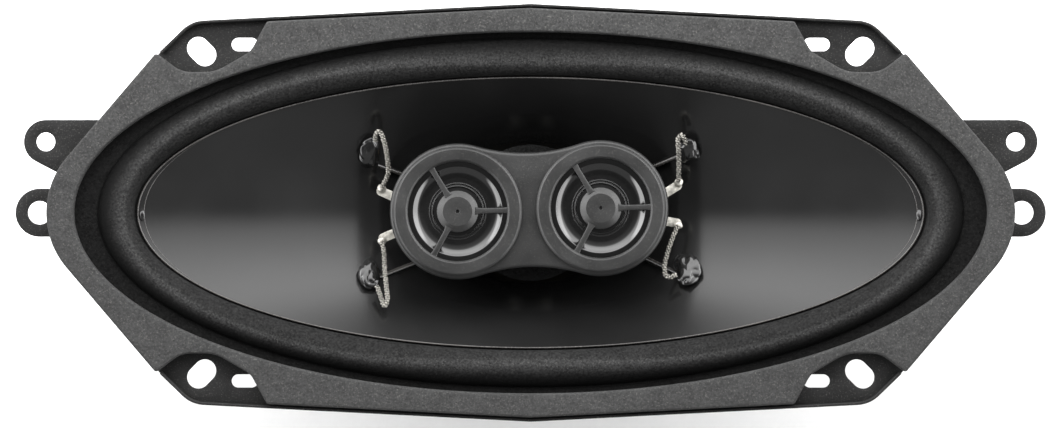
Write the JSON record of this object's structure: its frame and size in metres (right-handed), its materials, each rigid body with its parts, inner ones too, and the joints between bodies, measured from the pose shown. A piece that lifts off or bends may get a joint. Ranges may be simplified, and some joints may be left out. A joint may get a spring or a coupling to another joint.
{
  "type": "coaxial car speaker",
  "caption": "Oval coaxial car speaker: steel basket with corner slots and end tabs, oval cone on a half-roll surround, ring magnet, and a peanut-shaped bridge of small dome tweeters.",
  "frame": {"origin": "middle of the outline in plan, on the plane of the magnet's back face, which the part stands on", "axes": "+X along the long axis, +Y across towards the side with the upper end tabs, +Z out of the front, towards the listener"},
  "size_m": [0.2646, 0.1072, 0.0653],
  "materials": {
    "black_painted_steel": "pressed sheet steel, satin black paint",
    "plated_steel": "zinc-plated steel, bright",
    "ferrite": "ceramic magnet, matt grey-black with a ground face",
    "pressed_fibre": "pressed fibre sheet with a leathery speckled grain",
    "foam_rubber": "fine-grained matt foam rubber",
    "glossy_polymer": "glossy black polypropylene with fine streaks",
    "treated_cloth": "resin-dipped woven cotton",
    "open_foam": "open-cell black foam",
    "coil_former": "thin former sheet, amber",
    "copper_winding": "enamelled copper winding",
    "moulded_plastic": "satin dark grey moulding",
    "glossy_film": "polished black film",
    "nickel_plate": "nickel-plated magnet",
    "shrink_sleeve": "printed-free plastic sleeve",
    "tinned_brass": "tinned, bright",
    "tinsel_braid": "silver-white braided tinsel",
    "black_glue": "set glossy black adhesive",
    "enamelled_wire": "enamelled wire bedded in varnish",
    "phenolic_board": "brown phenolic paper board"
  },
  "bodies": {
    "chassis": {"basket_frame": "black_painted_steel", "front_gasket": "pressed_fibre", "surround": "foam_rubber", "spider": "treated_cloth", "top_plate": "plated_steel", "magnet_ring": "ferrite", "back_plate_and_pole": "plated_steel", "tweeter_post": "plated_steel", "post_nut": "plated_steel", "tweeter_bridge": "moulded_plastic", "bridge_base": "moulded_plastic", "capacitor_upper": "shrink_sleeve", "capacitor_lower": "shrink_sleeve", "frame_rivet_1": "plated_steel", "frame_rivet_2": "plated_steel", "frame_rivet_3": "plated_steel", "frame_rivet_4": "plated_steel", "tweeter_left_pot": "plated_steel", "tweeter_left_magnet": "nickel_plate", "tweeter_left_pole_plate": "plated_steel", "tweeter_left_face": "moulded_plastic", "terminal_board_left": "phenolic_board", "terminal_upper_left": "tinned_brass", "terminal_lower_left": "tinned_brass", "tweeter_right_pot": "plated_steel", "tweeter_right_magnet": "nickel_plate", "tweeter_right_pole_plate": "plated_steel", "tweeter_right_face": "moulded_plastic", "terminal_board_right": "phenolic_board", "terminal_upper_right": "tinned_brass", "terminal_lower_right": "tinned_brass", "lug_upper_left": "tinned_brass", "front_lead_upper_left": "tinsel_braid", "rear_lead_upper_left": "tinsel_braid", "lug_lower_left": "tinned_brass", "front_lead_lower_left": "tinsel_braid", "rear_lead_lower_left": "tinsel_braid", "lug_upper_right": "tinned_brass", "front_lead_upper_right": "tinsel_braid", "rear_lead_upper_right": "tinsel_braid", "lug_lower_right": "tinned_brass", "front_lead_lower_right": "tinsel_braid", "rear_lead_lower_right": "tinsel_braid"},
    "cone": {"cone": "glossy_polymer", "voice_coil_former": "coil_former", "voice_coil_winding_a": "copper_winding", "voice_coil_winding_b": "copper_winding", "foam_dust_ring": "open_foam", "glue_upper_left": "black_glue", "glue_lower_left": "black_glue", "glue_upper_right": "black_glue", "glue_lower_right": "black_glue", "coil_wire_upper_left": "enamelled_wire", "coil_wire_lower_left": "enamelled_wire", "coil_wire_upper_right": "enamelled_wire", "coil_wire_lower_right": "enamelled_wire"},
    "left_dome": {"tweeter_left_diaphragm": "glossy_film", "tweeter_left_coil": "copper_winding"},
    "right_dome": {"tweeter_right_diaphragm": "glossy_film", "tweeter_right_coil": "copper_winding"}
  },
  "joints": [
    {"name": "cone_travel", "type": "slide", "parent": "chassis", "child": "cone", "axis": [0, 0, 1], "range_m": [-0.003, 0.003], "stiffness_N_per_m": 2500, "deforming": ["surround", "spider", "front_lead_upper_left", "front_lead_lower_left", "front_lead_upper_right", "front_lead_lower_right", "rear_lead_upper_left", "rear_lead_lower_left", "rear_lead_upper_right", "rear_lead_lower_right"]},
    {"name": "left_dome_travel", "type": "slide", "parent": "chassis", "child": "left_dome", "axis": [0, 0, 1], "range_m": [-0.0003, 0.0003], "stiffness_N_per_m": 500},
    {"name": "right_dome_travel", "type": "slide", "parent": "chassis", "child": "right_dome", "axis": [0, 0, 1], "range_m": [-0.0003, 0.0003], "stiffness_N_per_m": 500}
  ]
}
